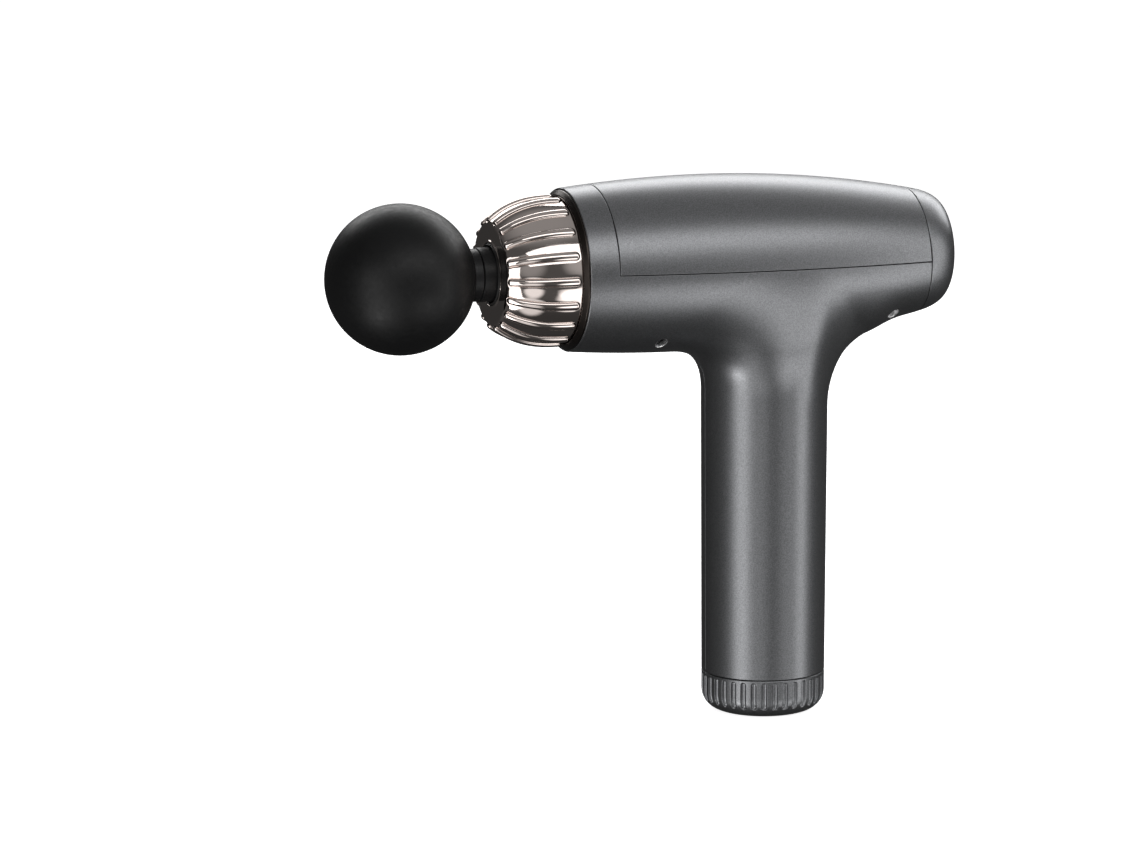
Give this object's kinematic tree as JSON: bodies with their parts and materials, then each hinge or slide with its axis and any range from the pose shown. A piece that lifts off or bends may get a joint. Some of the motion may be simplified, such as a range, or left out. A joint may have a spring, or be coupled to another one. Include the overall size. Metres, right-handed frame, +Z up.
{
  "type": "massage gun",
  "caption": "T-shaped handheld percussion massager with a ball head, a ribbed metallic dome around the plunger and a slotted ring at the handle's base.",
  "frame": {"origin": "centre of the flat base, on the handle's axis", "axes": "+Z up along the handle, -X towards the ball head, +X towards the rear panel, the barrel's axis along X at z 0.166"},
  "size_m": [0.2338, 0.0634, 0.1977],
  "materials": {
    "gunmetal": "satin",
    "fasteners": "satin",
    "bezel": "satin",
    "dome_chrome": "polished",
    "seal": "satin",
    "black_gloss": "gloss",
    "button": "satin",
    "circuit_board": "gloss",
    "black_plastic": "satin",
    "led": "gloss",
    "rocker": "satin",
    "soft_ball": "matte",
    "grey_rubber": "matte",
    "aluminium": "satin",
    "steel": "satin",
    "bearing_plastic": "satin",
    "laminations": "satin",
    "copper": "satin",
    "motor_black": "satin",
    "cell_sleeve": "gloss",
    "board_parts": "satin"
  },
  "bodies": {
    "housing": {"body_shell_left": "gunmetal", "body_shell_right": "gunmetal", "top_cover": "gunmetal", "rear_cap": "gunmetal", "shell_screws": "fasteners", "front_bezel": "bezel", "vent_dome": "dome_chrome", "collar_seal": "seal", "display_lens": "black_gloss", "display_board": "circuit_board", "tact_switch": "black_plastic", "level_leds": "led", "display_screws": "fasteners", "base_ring": "gunmetal", "base_plate": "black_plastic", "base_screws": "fasteners", "switch_frame": "black_plastic", "charge_jack": "black_plastic", "jack_pin": "fasteners", "guide_sleeve": "bearing_plastic", "drive_frame": "black_plastic", "frame_damper": "grey_rubber", "frame_pads": "grey_rubber", "motor_base": "aluminium", "motor_bearings": "steel", "motor_screws": "steel", "stator_core": "laminations", "stator_windings": "copper", "battery_cells": "cell_sleeve", "cell_tray_low": "black_plastic", "cell_tray_top": "black_plastic", "cell_links": "steel", "battery_board": "circuit_board", "control_board": "circuit_board", "board_parts": "board_parts"},
    "plunger": {"plunger": "black_plastic", "yoke": "aluminium", "yoke_pin": "steel"},
    "head": {"ball_head": "soft_ball", "head_stem": "black_plastic", "stem_ring": "grey_rubber"},
    "crank": {"motor_shaft": "steel", "rotor_bell": "motor_black", "rotor_magnets": "steel", "crank_disc": "steel", "crank_pin": "steel", "crank_bearing": "steel", "bearing_clip": "steel"},
    "button": {"speed_button": "button"},
    "power_rocker": {"rocker_switch": "rocker"}
  },
  "joints": [
    {"name": "plunger_stroke", "type": "slide", "parent": "housing", "child": "plunger", "axis": [-1, 0, 0], "range_m": [0, 0.008]},
    {"name": "crank_spin", "type": "hinge", "parent": "housing", "child": "crank", "pos_m": [0.0025, 0, 0.166], "axis": [0, 0, 1], "range_deg": [0, 180]},
    {"name": "head_release", "type": "slide", "parent": "plunger", "child": "head", "axis": [-1, 0, 0], "range_m": [0, 0.026]},
    {"name": "speed_press", "type": "slide", "parent": "housing", "child": "button", "axis": [-1, 0, 0], "range_m": [0, 0.0006], "stiffness_N_per_m": 800},
    {"name": "power_rock", "type": "hinge", "parent": "housing", "child": "power_rocker", "pos_m": [0.0045, 0, 0.0042], "axis": [1, 0, 0], "range_deg": [0, 16]}
  ],
  "couplings": [
    {"joint": "crank_spin", "follows": "plunger_stroke", "rad_per_m": 392.7}
  ]
}
